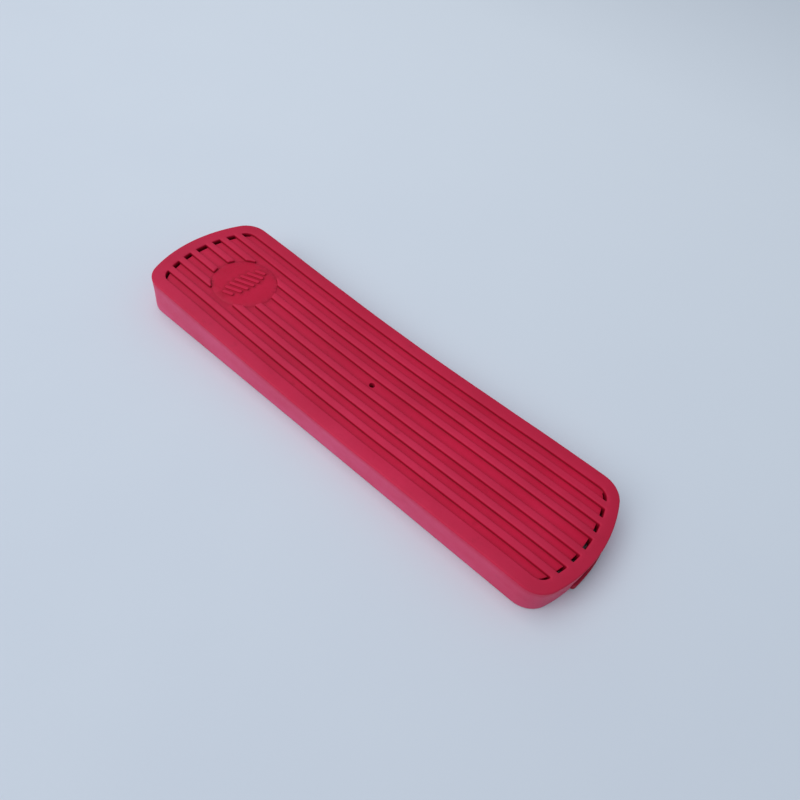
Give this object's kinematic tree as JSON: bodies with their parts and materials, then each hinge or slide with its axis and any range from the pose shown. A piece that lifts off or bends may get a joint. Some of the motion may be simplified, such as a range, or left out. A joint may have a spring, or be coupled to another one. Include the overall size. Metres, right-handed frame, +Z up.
{
  "type": "accelerator pedal pad",
  "caption": "Long red rubber pedal pad with lengthwise ribs, a recessed round badge near its toe end, a steel core plate and a short heel strap.",
  "frame": {"origin": "middle of the footprint, on the flat underside", "axes": "+X along the pad from the round badge at the toe end towards the heel, +Z up out of the ribbed face"},
  "size_m": [0.1808, 0.05, 0.0131],
  "materials": {
    "red_rubber": "matte moulded rubber, fine grain, slightly chalky on the side walls",
    "plate_steel": "dull phosphated sheet steel",
    "dark_rubber": "matte rubber, a shade darker than the tread",
    "rivet_steel": "zinc plated, hammered flat"
  },
  "bodies": {
    "root": {"rubber_tread": "red_rubber", "core_plate": "plate_steel", "heel_strap": "dark_rubber", "strap_rivet_left": "rivet_steel", "strap_rivet_right": "rivet_steel"}
  },
  "joints": []
}
